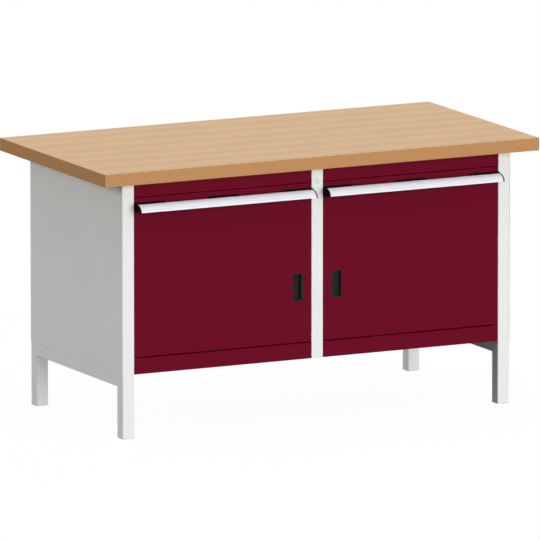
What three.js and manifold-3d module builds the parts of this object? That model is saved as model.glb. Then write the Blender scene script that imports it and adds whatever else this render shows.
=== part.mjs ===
// Workshop bench with two cabinet bays, each a shallow drawer over a hinged door.
// Millimetres, +Z up, +Y to the back. The origin is on the floor, under the middle of the worktop.

import * as THREE from 'three';
import { mergeVertices } from 'three/addons/utils/BufferGeometryUtils.js';
import Module from 'manifold-3d';

const wasm = await Module();
wasm.setup();

// Worktop
const topWidth = 1500;
const topDepth = 750;
const benchHeight = 840;
const topThickness = 40;
const topEase = 1; // chamfer round the slab's edges

// Frame of square tube
const sideOverhang = 80; // worktop past the legs
const frontOverhang = 45;
const backOverhang = 55;
const tube = 40; // side of the square tube
const tubeWall = 2;
const tubeCorner = 2.5; // outer corner radius
const glideFlange = 3; // plastic flange under each leg
const glideSpigot = 22; // length inside the leg
const glideWall = 3;
const glideFit = 0.3; // clearance inside the leg
const skinSheet = 1; // side skin outside the legs

// Heights of a bay, from the floor up: what is left over is the door
const cabinetRise = 200;
const plinthHeight = 50;
const plinthGap = 3.5; // plinth to door
const drawerGap = 3; // door to drawer front
const drawerFrontHeight = 43.5;
const fasciaGap = 1.5; // drawer front to fascia
const fasciaHeight = 47;

// Sheet metal
const sheet = 1;
const bend = 1.2; // inside radius of a fold
const seat = 0.3; // clearance where one piece rests on another
const stripGap = 0.5; // fascia and plinth to the posts
const frontGap = 1; // doors and drawer fronts to the posts
const frontDepth = 18; // thickness of doors and drawer fronts
const frontSheet = 1.2;
const frontReturn = 14; // folded edge round the back of a front
const frontEase = 1; // softened edge of a painted front
const plinthDepth = 14;
const backInset = 2; // back panel inside the rear face of the legs
const backFlange = 20;
const wallSetback = 30; // front face of the frame to the front edge of a wall
const stopFlange = 14; // folded edge that stops the door
const stopGap = 0.6; // door to its stop
const ledgeWidth = 14; // folded ledge under the shelf
const shelfRise = 203; // bottom of the door to the underside of the shelf
const shelfFold = 24;
const shelfSetback = 45; // front of the frame to the front of the shelf
const shelfBackGap = 12;

// Drawers
const trayLength = 500;
const trayHeight = 30;
const trayLift = 5; // bottom of the drawer front to the bottom of the tray
const runnerThickness = 12.5; // wall to tray
const runnerHeight = 26;
const runnerSheet = 1.2;
const runnerFit = 0.8; // running clearance between the two members
const runnerInset = 2; // runner behind the front edge of the wall

// Grip bars
const gripReach = 44; // drawer front to the bar's lip
const gripStandoff = 14; // drawer front to the bar's rear web
const gripDrop = 19; // top of the drawer front to the top of the bar
const gripHeight = 21.5;
const gripWall = 2.5;
const gripWeb = 9; // height of the rear web
const clipLength = 100;
const clipRise = 3.5; // clip above the bar
const clipSkirt = 11; // clip below the bar's top
const clipEdge = 1.5; // rounding of the clips
const capPlate = 3.5; // thickness of an end plate
const capRim = 1; // end plate past the bar's outline

// Doors
const pivotFromEdge = 14; // pin axis from the door's hinge edge
const pivotFromFront = 5; // pin axis behind the door's front face
const pinRadius = 2.5;
const pinLength = 13; // pin below or above its plate
const pinFit = 0.5; // radial clearance in the door
const pivotPlate = 1.8;
const pivotPlateLift = 0.5; // upper plate above the door
const pivotMargin = 7; // plate past the pin axis
const pivotFlange = 28; // height of the plate's upright
const pivotSetback = 21; // front of the frame to the upright
const washerRadius = 5;
const pullWidth = 36;
const pullHeight = 86;
const pullFlange = 1.2; // thickness of the rim on the door
const pullRim = 2; // rim past the door's cut-out
const pullCorner = 4;
const pullDepth = 12;
const pullWall = 1.5;
const pullLip = 5; // grip lip over the pocket
const pullFromEdge = 28; // door's free edge to the pull
const pullRise = 174.5; // bottom of the door to the middle of the pull
const pullFit = 0.3;

// Lock in the centre post
const lockDrop = 45; // top of the frame to the lock's axis
const lockFaceRadius = 10;
const lockFace = 1.2; // thickness of the face
const lockBarrelRadius = 8;
const lockBarrelLength = 24;
const lockFit = 0.4;
const camReach = 15;
const camWidth = 10;
const camThickness = 2;
const camCorner = 2.5;
const keySlotLength = 9;
const keySlotWidth = 1.6;
const keySlotDepth = 3;

// Places worked out from the sizes above
const frameTop = benchHeight - topThickness;
const frameHalf = topWidth / 2 - sideOverhang;
const frontY = -topDepth / 2 + frontOverhang;
const backY = topDepth / 2 - backOverhang;
const bayOuter = frameHalf - tube; // inner face of the outer legs
const bayInner = tube / 2; // side face of the centre post
const wallOuter = bayOuter - sheet; // inner faces of the cabinet walls
const wallInner = bayInner + sheet;
const plinthTop = cabinetRise + plinthHeight;
const doorBottom = plinthTop + plinthGap;
const fasciaBottom = frameTop - fasciaHeight;
const drawerTop = fasciaBottom - fasciaGap;
const drawerBottom = drawerTop - drawerFrontHeight;
const doorTop = drawerBottom - drawerGap;
const frontOuter = bayOuter - frontGap; // side edges of doors and drawer fronts
const frontInner = bayInner + frontGap;
const frontBack = frontY + frontDepth;
const backPanelFront = backY - backInset - sheet;
const wallFront = frontY + wallSetback;
const wallTop = fasciaBottom - seat;
const shelfBottom = doorBottom + shelfRise;
const shelfTop = shelfBottom + shelfFold;
const gripTop = drawerTop - gripDrop;
const gripBottom = gripTop - gripHeight;
const pinX = frontOuter - pivotFromEdge;
const pinY = frontY + pivotFromFront;
const lockHeight = frameTop - lockDrop;

// Steps along round stretches
const arcSteps = 3;
const gripSteps = 14;
const roundSteps = 20;

// How far a cutting tool reaches past what it cuts
const cutPast = 5;

const bench = new THREE.Group();
const sides = [['left', -1], ['right', 1]];

// Materials
const paint = { roughness: 0.45, metalness: 0 };
const paleGrey = new THREE.MeshStandardMaterial({ color: 0xe6e7e4, ...paint });
const burgundy = new THREE.MeshStandardMaterial({ color: 0x6b1226, ...paint });
const beech = new THREE.MeshStandardMaterial({ color: 0xd4b48c, roughness: 0.55, metalness: 0 });
const aluminium = new THREE.MeshStandardMaterial({ color: 0xd6d7db, roughness: 0.35, metalness: 1 });
const zinc = new THREE.MeshStandardMaterial({ color: 0xb4b7ba, roughness: 0.4, metalness: 1 });
const nickel = new THREE.MeshStandardMaterial({ color: 0xdcdcd8, roughness: 0.25, metalness: 1 });
const blackPlastic = new THREE.MeshStandardMaterial({ color: 0x1c1c1b, roughness: 0.6, metalness: 0 });
const greyPlastic = new THREE.MeshStandardMaterial({ color: 0xb9bab8, roughness: 0.7, metalness: 0 });

// Adds one named piece to the bench
function addPiece(name, geometry, material) {
  const mesh = new THREE.Mesh(geometry, material);
  mesh.name = name;
  bench.add(mesh);
}

// Closed solid from a geometry whose shared vertices are merged
function solidOf(geometry) {
  const bare = geometry.clone();
  bare.deleteAttribute('normal');
  bare.deleteAttribute('uv');
  const merged = mergeVertices(bare);
  const vertProperties = new Float32Array(merged.attributes.position.array);
  const triVerts = new Uint32Array(merged.index.array);
  return new wasm.Manifold(new wasm.Mesh({ numProp: 3, vertProperties, triVerts }));
}

function geometryOf(solid) {
  const mesh = solid.getMesh();
  const geometry = new THREE.BufferGeometry();
  geometry.setAttribute('position', new THREE.BufferAttribute(mesh.vertProperties, 3));
  geometry.setIndex(new THREE.BufferAttribute(mesh.triVerts, 1));
  geometry.computeVertexNormals();
  return geometry;
}

function join(first, ...others) {
  return geometryOf(others.reduce((sum, other) => sum.add(solidOf(other)), solidOf(first)));
}

function cut(body, ...tools) {
  return geometryOf(tools.reduce((rest, tool) => rest.subtract(solidOf(tool)), solidOf(body)));
}

// Closed outline through corners [x, y, radius], with an arc at each corner that has a radius
function outline(corners) {
  const shape = new THREE.Shape();
  const pointAt = (index) => new THREE.Vector2(...corners.at(index % corners.length).slice(0, 2));
  corners.forEach(([, , radius = 0], index) => {
    const corner = pointAt(index);
    const back = pointAt(index - 1).sub(corner).normalize();
    const ahead = pointAt(index + 1).sub(corner).normalize();
    const halfAngle = Math.acos(back.dot(ahead)) / 2;
    const start = corner.clone().addScaledVector(back, radius / Math.tan(halfAngle));
    if (index === 0) {
      shape.moveTo(start.x, start.y);
    } else {
      shape.lineTo(start.x, start.y);
    }
    if (radius > 0) {
      const inward = back.clone().add(ahead).normalize();
      const centre = corner.clone().addScaledVector(inward, radius / Math.sin(halfAngle));
      const end = corner.clone().addScaledVector(ahead, radius / Math.tan(halfAngle));
      const startAngle = start.sub(centre).angle();
      const endAngle = end.sub(centre).angle();
      shape.absarc(centre.x, centre.y, radius, startAngle, endAngle, back.cross(ahead) > 0);
    }
  });
  shape.closePath();
  return shape;
}

// Rectangle between two opposite corners
function rectangle(x0, y0, x1, y1, radius = 0) {
  return outline([[x0, y0, radius], [x1, y0, radius], [x1, y1, radius], [x0, y1, radius]]);
}

// Section of a folded sheet that lies to the left of a line of corner points
function foldedSection(line, thickness) {
  const points = line.map(([x, y]) => new THREE.Vector2(x, y));
  const near = [];
  const far = [];
  points.forEach((point, index) => {
    const first = points[Math.max(index - 1, 0)];
    const last = points[Math.min(index + 1, points.length - 1)];
    const into = (index > 0 ? point : last).clone().sub(first).normalize();
    const out = (index < points.length - 1 ? last : point).clone().sub(index > 0 ? point : first);
    out.normalize();
    const leftIn = new THREE.Vector2(-into.y, into.x);
    const leftOut = new THREE.Vector2(-out.y, out.x);
    if (index === points.length - 1) {
      leftOut.copy(leftIn);
    }
    const mitre = leftIn.clone().add(leftOut);
    const shift = mitre.multiplyScalar(thickness / (1 + leftIn.dot(leftOut)));
    const turn = leftIn.cross(leftOut);
    const inside = turn === 0 ? 0 : bend;
    const outside = turn === 0 ? 0 : bend + thickness;
    near.push([point.x, point.y, turn > 0 ? outside : inside]);
    far.unshift([point.x + shift.x, point.y + shift.y, turn > 0 ? inside : outside]);
  });
  return outline([...near, ...far]);
}

// Square or oblong tube section about the origin
function tubeSection(width, height) {
  const section = rectangle(-width / 2, -height / 2, width / 2, height / 2, tubeCorner);
  const innerX = width / 2 - tubeWall;
  const innerY = height / 2 - tubeWall;
  section.holes.push(rectangle(-innerX, -innerY, innerX, innerY, Math.max(tubeCorner - tubeWall, 0)));
  return section;
}

const axisX = new THREE.Vector3(1, 0, 0);
const axisY = new THREE.Vector3(0, 1, 0);
const axisZ = new THREE.Vector3(0, 0, 1);

function extrude(section, depth, curveSegments) {
  return new THREE.ExtrudeGeometry(section, { depth, bevelEnabled: false, curveSegments });
}

// Section drawn in Y and Z, extruded along X
function extrudeX(section, from, to, curveSegments = arcSteps) {
  const geometry = extrude(section, to - from, curveSegments);
  geometry.applyMatrix4(new THREE.Matrix4().makeBasis(axisY, axisZ, axisX));
  return geometry.translate(from, 0, 0);
}

// Section drawn in X and Z, extruded along Y
function extrudeY(section, from, to, curveSegments = arcSteps) {
  const geometry = extrude(section, to - from, curveSegments);
  geometry.applyMatrix4(new THREE.Matrix4().makeBasis(axisX, axisZ, axisY.clone().negate()));
  return geometry.translate(0, to, 0);
}

// Section drawn in X and Y, extruded along Z
function extrudeZ(section, from, to, curveSegments = arcSteps) {
  const geometry = extrude(section, to - from, curveSegments);
  return geometry.translate(0, 0, from);
}

function box(x0, x1, y0, y1, z0, z1) {
  const geometry = new THREE.BoxGeometry(Math.abs(x1 - x0), y1 - y0, z1 - z0);
  return geometry.translate((x0 + x1) / 2, (y0 + y1) / 2, (z0 + z1) / 2);
}

// Upright round bar
function rod(radius, x, y, z0, z1) {
  const geometry = new THREE.CylinderGeometry(radius, radius, z1 - z0, roundSteps);
  geometry.rotateX(Math.PI / 2);
  return geometry.translate(x, y, (z0 + z1) / 2);
}

// Worktop: a slab with eased edges
function addWorktop() {
  const halfWidth = topWidth / 2 - topEase;
  const halfDepth = topDepth / 2 - topEase;
  const plan = rectangle(-halfWidth, -halfDepth, halfWidth, halfDepth);
  const slab = new THREE.ExtrudeGeometry(plan, {
    depth: topThickness - 2 * topEase,
    bevelThickness: topEase,
    bevelSize: topEase,
    bevelSegments: 1,
  });
  addPiece('worktop', slab.translate(0, 0, frameTop + topEase), beech);
}

// Leg and the plastic glide in its lower end
function addLeg(place, x, y) {
  const leg = extrudeZ(tubeSection(tube, tube), glideFlange, frameTop);
  addPiece(`leg_${place}`, leg.translate(x, y, 0), paleGrey);
  const spigot = tube / 2 - tubeWall - glideFit;
  const hollow = spigot - glideWall;
  const flange = extrudeZ(rectangle(-tube / 2, -tube / 2, tube / 2, tube / 2, tubeCorner), 0, glideFlange);
  const plugTop = glideFlange + glideSpigot;
  const plug = extrudeZ(rectangle(-spigot, -spigot, spigot, spigot), 0, plugTop);
  const recess = box(-hollow, hollow, -hollow, hollow, glideFlange, plugTop + cutPast);
  addPiece(`foot_glide_${place}`, cut(join(flange, plug), recess).translate(x, y, 0), greyPlastic);
}

function addFrame() {
  const legX = frameHalf - tube / 2;
  const rows = [['front', frontY + tube / 2], ['rear', backY - tube / 2]];
  const railFrom = frontY + tube;
  const railTo = backY - tube;
  const railCentres = [['lower', cabinetRise - tube / 2], ['upper', frameTop - tube / 2]];
  for (const [side, sign] of sides) {
    for (const [row, y] of rows) {
      addLeg(`${row}_${side}`, sign * legX, y);
    }
    for (const [level, z] of railCentres) {
      const rail = extrudeY(tubeSection(tube, tube), railFrom, railTo);
      addPiece(`${level}_side_rail_${side}`, rail.translate(sign * legX, 0, z), paleGrey);
    }
    const inside = sign * frameHalf;
    const skin = box(inside, inside + sign * skinSheet, frontY, backY, cabinetRise, frameTop);
    addPiece(`side_skin_${side}`, skin, paleGrey);
  }
  const rearRail = extrudeX(tubeSection(tube, tube), -bayOuter, bayOuter);
  addPiece('rear_top_rail', rearRail.translate(0, backY - tube / 2, frameTop - tube / 2), paleGrey);
}

// Centre post with a round hole for the lock in its front wall
function addCentrePost() {
  const post = extrudeZ(tubeSection(tube, tube), cabinetRise, frameTop).translate(0, frontY + tube / 2, 0);
  const holeRadius = lockBarrelRadius + lockFit;
  const hole = new THREE.CylinderGeometry(holeRadius, holeRadius, tube, roundSteps);
  addPiece('centre_post', cut(post, hole.translate(0, frontY, lockHeight)), paleGrey);
}

// Back panel with side flanges against the rear legs
function addBackPanel() {
  const back = backY - backInset;
  const front = back - backFlange;
  const line = [[bayOuter, front], [bayOuter, back], [-bayOuter, back], [-bayOuter, front]];
  const panel = extrudeZ(foldedSection(line, sheet), cabinetRise, frameTop - tube);
  addPiece('back_panel', panel, paleGrey);
}

// Ledge folded out of a wall to carry the shelf
function shelfLedge(sign, wallFace, inward, back) {
  const from = sign * wallFace;
  const to = sign * (wallFace + inward * ledgeWidth);
  const z = shelfBottom - seat;
  const left = Math.min(from, to) - (sign * inward > 0 ? sheet : 0);
  const right = Math.max(from, to) + (sign * inward > 0 ? 0 : sheet);
  return box(left, right, frontY + shelfSetback, back, z - sheet, z);
}

function addWalls(side, sign) {
  const outerBack = backY - backInset - backFlange - seat;
  const outerSheet = box(sign * wallOuter, sign * bayOuter, wallFront, outerBack, cabinetRise, wallTop);
  const outerLedge = shelfLedge(sign, wallOuter, -1, outerBack);
  addPiece(`outer_wall_${side}`, join(outerSheet, outerLedge), paleGrey);

  const stopY = frontBack + stopGap;
  const innerBack = backPanelFront - seat;
  const stopEdge = wallInner + stopFlange;
  const corners = [[sign * stopEdge, stopY], [sign * bayInner, stopY], [sign * bayInner, innerBack]];
  const line = sign < 0 ? corners : corners.toReversed();
  const innerSheet = extrudeZ(foldedSection(line, sheet), cabinetRise, wallTop);
  const stopSpan = [sign * wallInner, sign * (stopEdge + cutPast), frontY, wallFront];
  const aboveDoor = box(...stopSpan, doorTop, wallTop + cutPast);
  const belowDoor = box(...stopSpan, cabinetRise - cutPast, doorBottom);
  const innerLedge = shelfLedge(sign, wallInner, 1, innerBack);
  addPiece(`inner_wall_${side}`, join(cut(innerSheet, aboveDoor, belowDoor), innerLedge), paleGrey);
}

// Open pan of folded sheet, drawn in X and Y, its face at one height and its rims towards another
function pan(x0, x1, y0, y1, faceZ, rimZ, thickness) {
  const inward = Math.sign(rimZ - faceZ);
  const left = Math.min(x0, x1);
  const right = Math.max(x0, x1);
  const outer = bend + thickness;
  const plan = rectangle(left, y0, right, y1, outer);
  const shell = extrudeZ(plan, Math.min(faceZ, rimZ), Math.max(faceZ, rimZ));
  const floorZ = faceZ + inward * thickness;
  const openZ = rimZ + inward * cutPast;
  const hollow = rectangle(left + thickness, y0 + thickness, right - thickness, y1 - thickness, bend);
  return cut(shell, extrudeZ(hollow, Math.min(floorZ, openZ), Math.max(floorZ, openZ)));
}

// Painted front: a pan that faces forward, with softened edges and a folded return round its back
function frontPan(sign, bottom, top) {
  const left = Math.min(sign * frontOuter, sign * frontInner);
  const right = Math.max(sign * frontOuter, sign * frontInner);
  const face = rectangle(left + frontEase, bottom + frontEase, right - frontEase, top - frontEase);
  const block = new THREE.ExtrudeGeometry(face, {
    depth: frontDepth,
    bevelThickness: frontEase,
    bevelSize: frontEase,
    bevelSegments: 2,
  });
  block.applyMatrix4(new THREE.Matrix4().makeBasis(axisX, axisZ, axisY.clone().negate()));
  block.translate(0, frontBack + frontEase, 0);
  const rear = box(
    left - cutPast, right + cutPast, frontBack, frontBack + cutPast, bottom - cutPast, top + cutPast);
  const inside = frontBack - frontSheet;
  const hollow = box(
    left + frontSheet, right - frontSheet,
    frontY + frontSheet, inside,
    bottom + frontSheet, top - frontSheet);
  const mouth = box(
    left + frontReturn, right - frontReturn,
    inside - frontSheet, frontBack + cutPast,
    bottom + frontReturn, top - frontReturn);
  return cut(block, rear, hollow, mouth);
}

// Strip of the bay's front: a channel with its flanges turned back
function frontStrip(sign, bottom, top, depth) {
  const line = [[frontY + depth, bottom], [frontY, bottom], [frontY, top], [frontY + depth, top]];
  const ends = [sign * (bayInner + stripGap), sign * (bayOuter - stripGap)];
  return extrudeX(foldedSection(line.toReversed(), sheet), Math.min(...ends), Math.max(...ends));
}

function addCabinet(side, sign) {
  addPiece(`fascia_${side}`, frontStrip(sign, fasciaBottom, frameTop, tube), burgundy);
  addPiece(`plinth_${side}`, frontStrip(sign, cabinetRise, plinthTop, plinthDepth), burgundy);
  const outer = sign * (wallOuter - seat);
  const inner = sign * (wallInner + seat);
  const floorFront = frontY + plinthDepth + seat;
  const floorBack = backPanelFront - seat;
  const floor = pan(outer, inner, floorFront, floorBack, plinthTop, cabinetRise, sheet);
  addPiece(`cabinet_floor_${side}`, floor, paleGrey);
  const shelfBack = backPanelFront - shelfBackGap;
  const shelf = pan(outer, inner, frontY + shelfSetback, shelfBack, shelfTop, shelfBottom, sheet);
  addPiece(`shelf_${side}`, shelf, paleGrey);
}

// Runner: a channel on the wall and a narrower channel on the tray that slides inside it
function addRunner(side, sign, place, wallFace, inward) {
  const at = (distance) => sign * (wallFace + inward * distance);
  const bottom = drawerBottom + trayLift + (trayHeight - runnerHeight) / 2;
  const top = bottom + runnerHeight;
  const front = wallFront + runnerInset;
  const mouth = runnerThickness - runnerSheet - runnerFit;
  const wallLine = [[at(mouth), top], [at(0), top], [at(0), bottom], [at(mouth), bottom]];
  const step = runnerSheet + runnerFit;
  const trayLine = [
    [at(step), bottom + step], [at(runnerThickness), bottom + step],
    [at(runnerThickness), top - step], [at(step), top - step],
  ];
  const turned = sign * inward > 0;
  const wallSection = foldedSection(turned ? wallLine : wallLine.toReversed(), runnerSheet);
  const traySection = foldedSection(turned ? trayLine : trayLine.toReversed(), runnerSheet);
  const wallMember = extrudeY(wallSection, front, front + trayLength);
  addPiece(`cabinet_runner_${side}_${place}`, wallMember, zinc);
  const trayMember = extrudeY(traySection, frontBack + seat, frontBack + seat + trayLength);
  addPiece(`drawer_runner_${side}_${place}`, trayMember, zinc);
}

// Curve of the grip bar's outside, from its lip up to its rear web, grown by a rim
function gripCurve(shape, rim, clockwise) {
  const rearY = frontY - gripStandoff;
  const acrossRadius = gripReach - gripStandoff + rim;
  const upRadius = gripHeight + rim;
  const lip = Math.PI;
  const crown = Math.PI / 2;
  const [from, to] = clockwise ? [lip, crown] : [crown, lip];
  shape.absellipse(rearY, gripBottom, acrossRadius, upRadius, from, to, clockwise);
}

// Aluminium rail: a quarter ellipse that curls forward and down from an upright web
function gripSection() {
  const rearY = frontY - gripStandoff;
  const section = new THREE.Shape();
  section.moveTo(frontY - gripReach, gripBottom);
  gripCurve(section, 0, true);
  section.lineTo(rearY, gripTop - gripWeb);
  section.lineTo(rearY - gripWall, gripTop - gripWeb);
  section.lineTo(rearY - gripWall, gripTop - gripWall);
  gripCurve(section, -gripWall, false);
  section.closePath();
  return section;
}

// Black clip between the drawer front and the bar's web
function clipSection() {
  const front = frontY - gripStandoff + seat;
  return outline([
    [frontY, gripTop - clipSkirt], [front, gripTop - clipSkirt, clipEdge],
    [front, gripTop + clipRise, clipEdge], [frontY, gripTop + clipRise],
  ]);
}

// End plate that closes the bar's outline
function capSection() {
  const section = new THREE.Shape();
  section.moveTo(frontY, gripBottom - capRim);
  section.lineTo(frontY - gripReach - capRim, gripBottom - capRim);
  gripCurve(section, capRim, true);
  section.lineTo(frontY - gripStandoff, gripTop + clipRise);
  section.lineTo(frontY, gripTop + clipRise);
  section.closePath();
  return section;
}

function addGrip(side, sign) {
  const left = Math.min(sign * frontOuter, sign * frontInner);
  const right = Math.max(sign * frontOuter, sign * frontInner);
  const bar = extrudeX(gripSection(), left + capPlate + seat, right - capPlate - seat, gripSteps);
  addPiece(`grip_bar_${side}`, bar, aluminium);
  const caps = [['left', left, left + capPlate, left, left + clipLength]];
  caps.push(['right', right - capPlate, right, right - clipLength, right]);
  for (const [end, plateFrom, plateTo, tongueFrom, tongueTo] of caps) {
    const plate = extrudeX(capSection(), plateFrom, plateTo, gripSteps);
    const tongue = extrudeX(clipSection(), tongueFrom, tongueTo);
    addPiece(`grip_end_cap_${side}_${end}`, join(plate, tongue), blackPlastic);
  }
  const middle = (left + right) / 2;
  const clip = extrudeX(clipSection(), middle - clipLength / 2, middle + clipLength / 2);
  addPiece(`grip_clip_${side}`, clip, blackPlastic);
}

function addDrawer(side, sign) {
  addPiece(`drawer_front_${side}`, frontPan(sign, drawerBottom, drawerTop), burgundy);
  const bottom = drawerBottom + trayLift;
  const outer = sign * (wallOuter - runnerThickness);
  const inner = sign * (wallInner + runnerThickness);
  const back = frontBack + seat + trayLength;
  const tray = pan(outer, inner, frontBack + seat, back, bottom, bottom + trayHeight, sheet);
  addPiece(`drawer_tray_${side}`, tray, paleGrey);
  addRunner(side, sign, 'outer', wallOuter, -1);
  addRunner(side, sign, 'inner', wallInner, 1);
  addGrip(side, sign);
}

// Door with a cut-out for the pull and holes for the pins
function addDoor(side, sign) {
  const pinHole = rod(pinRadius + pinFit, sign * pinX, pinY, doorBottom - cutPast, doorTop + cutPast);
  const pullX = sign * (frontInner + pullFromEdge + pullWidth / 2);
  const pullZ = doorBottom + pullRise;
  const halfWidth = pullWidth / 2 - pullRim;
  const halfHeight = pullHeight / 2 - pullRim;
  const opening = rectangle(
    pullX - halfWidth - pullFit, pullZ - halfHeight - pullFit,
    pullX + halfWidth + pullFit, pullZ + halfHeight + pullFit);
  const cutOut = extrudeY(opening, frontY - cutPast, frontBack);
  addPiece(`door_${side}`, cut(frontPan(sign, doorBottom, doorTop), pinHole, cutOut), burgundy);

  const rimFront = frontY - pullFlange;
  const rimShape = rectangle(
    pullX - pullWidth / 2, pullZ - pullHeight / 2,
    pullX + pullWidth / 2, pullZ + pullHeight / 2, pullCorner);
  const rim = extrudeY(rimShape, rimFront, frontY);
  const cup = box(
    pullX - halfWidth, pullX + halfWidth,
    rimFront, frontY + pullDepth,
    pullZ - halfHeight, pullZ + halfHeight);
  const pocketX = halfWidth - pullWall;
  const pocketZ = halfHeight - pullWall;
  const pocket = box(
    pullX - pocketX, pullX + pocketX,
    frontY + pullWall, frontY + pullDepth - pullWall,
    pullZ - pocketZ, pullZ + pocketZ);
  const mouthFree = pullX - sign * (pocketX - pullLip);
  const mouthHinge = pullX + sign * pocketX;
  const mouth = box(
    mouthFree, mouthHinge,
    rimFront - cutPast, frontY + pullWall + cutPast,
    pullZ - pocketZ, pullZ + pocketZ);
  addPiece(`door_pull_${side}`, cut(join(rim, cup), pocket, mouth), blackPlastic);
}

// Pivot above or below the door: a plate on the leg, with an upright and a pin into the door
function addPivot(side, sign, place) {
  const upper = place === 'upper';
  const low = upper ? doorTop + pivotPlateLift : plinthTop;
  const high = low + pivotPlate;
  const back = wallFront - seat;
  const plate = box(sign * bayOuter, sign * (pinX - pivotMargin), frontY + frontEase, back, low, high);
  const uprightX = [sign * (bayOuter - pivotPlate), sign * bayOuter];
  const upright = box(...uprightX, frontY + pivotSetback, back, low, low + pivotFlange);
  const pinEnds = upper ? [low - pinLength, high] : [low, high + pinLength];
  const rods = [rod(pinRadius, sign * pinX, pinY, ...pinEnds)];
  if (!upper) {
    rods.push(rod(washerRadius, sign * pinX, pinY, low, doorBottom - seat));
  }
  addPiece(`door_pivot_${side}_${place}`, join(plate, upright, ...rods), burgundy);
}

// Lock cylinder with a key slot in its face and a cam inside the post
function addLock() {
  const profile = [
    [0, 0], [lockFaceRadius, 0], [lockFaceRadius, lockFace], [lockBarrelRadius, lockFace],
    [lockBarrelRadius, lockFace + lockBarrelLength], [0, lockFace + lockBarrelLength],
  ];
  const barrel = new THREE.LatheGeometry(profile.map(([x, y]) => new THREE.Vector2(x, y)), roundSteps);
  const rear = lockFace + lockBarrelLength;
  const camShape = rectangle(-camWidth / 2, -camReach, camWidth / 2, camWidth / 2, camCorner);
  const cam = extrudeY(camShape, rear - camThickness, rear);
  const halfSlot = keySlotLength / 2;
  const slot = box(-keySlotWidth / 2, keySlotWidth / 2, -cutPast, keySlotDepth, -halfSlot, halfSlot);
  const lock = cut(join(barrel, cam), slot);
  addPiece('lock_cylinder', lock.translate(0, frontY - lockFace - seat, lockHeight), nickel);
}

addWorktop();
addFrame();
addCentrePost();
addBackPanel();
for (const [side, sign] of sides) {
  addWalls(side, sign);
  addCabinet(side, sign);
  addDrawer(side, sign);
  addDoor(side, sign);
  addPivot(side, sign, 'upper');
  addPivot(side, sign, 'lower');
}
addLock();

export default bench;
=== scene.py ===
"""Workshop bench with two cabinet bays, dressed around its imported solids.

Each sub-assembly is a class that models its pieces with Blender's operators, gives them their finishes and
sets them on the bodies that carry them. Names that end in _mm are millimetres. All other lengths and places
are metres.
"""

from __future__ import annotations

import logging
import math
from collections.abc import Callable, Iterator, Mapping, Sequence
from contextlib import contextmanager
from dataclasses import dataclass, replace
from enum import Enum
from typing import Any

import bmesh
import bpy
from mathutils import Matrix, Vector

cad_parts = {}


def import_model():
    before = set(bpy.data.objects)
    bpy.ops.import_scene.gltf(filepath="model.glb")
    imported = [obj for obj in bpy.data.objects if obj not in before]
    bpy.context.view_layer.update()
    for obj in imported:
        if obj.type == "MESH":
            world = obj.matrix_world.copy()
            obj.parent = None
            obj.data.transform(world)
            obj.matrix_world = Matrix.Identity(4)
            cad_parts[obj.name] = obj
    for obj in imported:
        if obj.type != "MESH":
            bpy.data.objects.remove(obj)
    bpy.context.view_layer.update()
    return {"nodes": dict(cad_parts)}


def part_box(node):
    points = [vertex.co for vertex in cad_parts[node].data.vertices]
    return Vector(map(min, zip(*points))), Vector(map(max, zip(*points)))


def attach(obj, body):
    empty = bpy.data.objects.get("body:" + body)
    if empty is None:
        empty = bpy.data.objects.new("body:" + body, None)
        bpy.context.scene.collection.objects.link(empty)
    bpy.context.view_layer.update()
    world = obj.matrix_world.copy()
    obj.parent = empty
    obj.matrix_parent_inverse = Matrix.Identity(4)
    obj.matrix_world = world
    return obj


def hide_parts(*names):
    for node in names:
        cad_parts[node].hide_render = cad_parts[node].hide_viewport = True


LOG = logging.getLogger("bench")
MM = 0.001
MM_XY = Vector((MM, MM, 0.0))
MM_XZ = Vector((MM, 0.0, MM))
NEAR = 0.02 * MM  # places closer together than this count as one
SMOOTH_ANGLE = math.radians(35)  # flatter edges are shaded smooth
SHARP_ANGLE = math.radians(50)  # soften rounds the edges that are sharper
ALONG = 0.999  # least cosine of an edge that runs along an axis
FACING = 0.99  # least cosine of a face that looks along an axis
DRUM_SIDES = 48
NOISE_LOW, NOISE_HIGH = 0.3, 0.7  # most of a noise texture lies between these
WAVE_PITCH = math.pi / 10  # metres between the bands of a wave texture at scale 1

Triple = tuple[float, float, float]
Test = Callable[[Any], bool]
Tree = bpy.types.NodeTree
Socket = bpy.types.NodeSocket


class Slot(Enum):
    """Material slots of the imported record."""

    BEECH = "beech"
    GREY_PAINT = "grey_paint"
    BURGUNDY_PAINT = "burgundy_paint"
    ZINC = "zinc_plate"
    BLACK_PLASTIC = "black_plastic"
    ALUMINIUM = "anodised_aluminium"
    GREY_PLASTIC = "grey_plastic"
    NICKEL = "nickel_plate"


class Side(Enum):
    """The two bays of the bench, as the nodes spell them."""

    LEFT = "left"
    RIGHT = "right"


class Axis(Enum):
    """Axes of the bench, by their place in a vector."""

    X = 0
    Y = 1
    Z = 2


class Pick(Enum):
    """Kinds of element that an edit-mode step selects."""

    VERT = "VERT"
    EDGE = "EDGE"
    FACE = "FACE"


class Joining(Enum):
    """Ways to combine two closed meshes."""

    ADD = "UNION"
    CUT = "DIFFERENCE"


def linear(hex_colour: str) -> tuple[float, float, float, float]:
    """Turns an sRGB hex colour into linear RGBA, by the curve of the standard.

    Args:
        hex_colour: Six hex digits.

    Returns:
        The linear colour with full alpha.
    """
    channels = [int(hex_colour[start:start + 2], 16) / 255 for start in (0, 2, 4)]
    curve = [c / 12.92 if c <= 0.04045 else ((c + 0.055) / 1.055) ** 2.4 for c in channels]
    return (curve[0], curve[1], curve[2], 1.0)


def per_mm(sizes: Sequence[float]) -> list[float]:
    """Scale of a pattern whose features have these sizes in millimetres along X, Y and Z."""
    return [1 / (size * MM) for size in sizes]


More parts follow.
